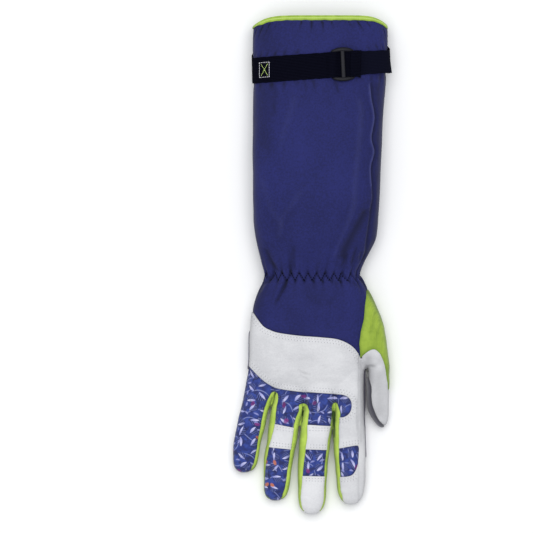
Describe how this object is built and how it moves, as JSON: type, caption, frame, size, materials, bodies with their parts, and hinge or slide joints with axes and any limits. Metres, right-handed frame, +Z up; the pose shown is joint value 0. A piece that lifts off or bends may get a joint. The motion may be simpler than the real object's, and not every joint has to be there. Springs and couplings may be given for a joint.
{
  "type": "leather palm work glove",
  "caption": "Right-hand gauntlet work glove lying palm down: leather palm, patterned knuckle panels, green side strips, and a long gathered fabric cuff with a strap and slide buckle.",
  "frame": {"origin": "centre of the glove's outline on the surface it lies on", "axes": "+Z up from the palm to the back of the hand, +Y from the fingertips to the cuff opening, +X to the thumb's side"},
  "size_m": [0.1433, 0.449, 0.049],
  "materials": {
    "navy_fabric": "matte woven polyester",
    "green_tape": "matte woven tape",
    "black_webbing": "matte ribbed elastic webbing",
    "black_plastic": "moulded satin",
    "white_tape": "matte woven tape",
    "green_fabric": "matte knitted stretch fabric",
    "white_leather": "soft grained",
    "printed_fabric": "matte, blue ground with pale petals",
    "grey_suede": "matte napped",
    "black_suede": "matte napped"
  },
  "bodies": {
    "root": {"cuff_back": "navy_fabric", "cuff_front": "navy_fabric", "edge_tape": "green_tape", "strap": "black_webbing", "buckle": "black_plastic", "hang_loop": "white_tape", "thumb_panel": "green_fabric", "side_strip_little_ring": "green_fabric", "side_strip_ring_middle": "green_fabric", "side_strip_middle_index": "green_fabric", "knuckle_patch": "white_leather", "knuckle_print": "printed_fabric", "ring_pad": "white_leather", "ring_print": "printed_fabric", "middle_pad": "white_leather", "middle_print": "printed_fabric", "middle_tip": "white_leather", "index_print": "printed_fabric", "index_tip": "white_leather", "palm": "white_leather", "palm_patch": "grey_suede", "index_side_patch": "grey_suede", "index_tip_cap": "black_suede", "middle_tip_cap": "grey_suede", "ring_tip_cap": "grey_suede", "little_tip_cap": "grey_suede", "thumb_tip_cap": "grey_suede"}
  },
  "joints": []
}
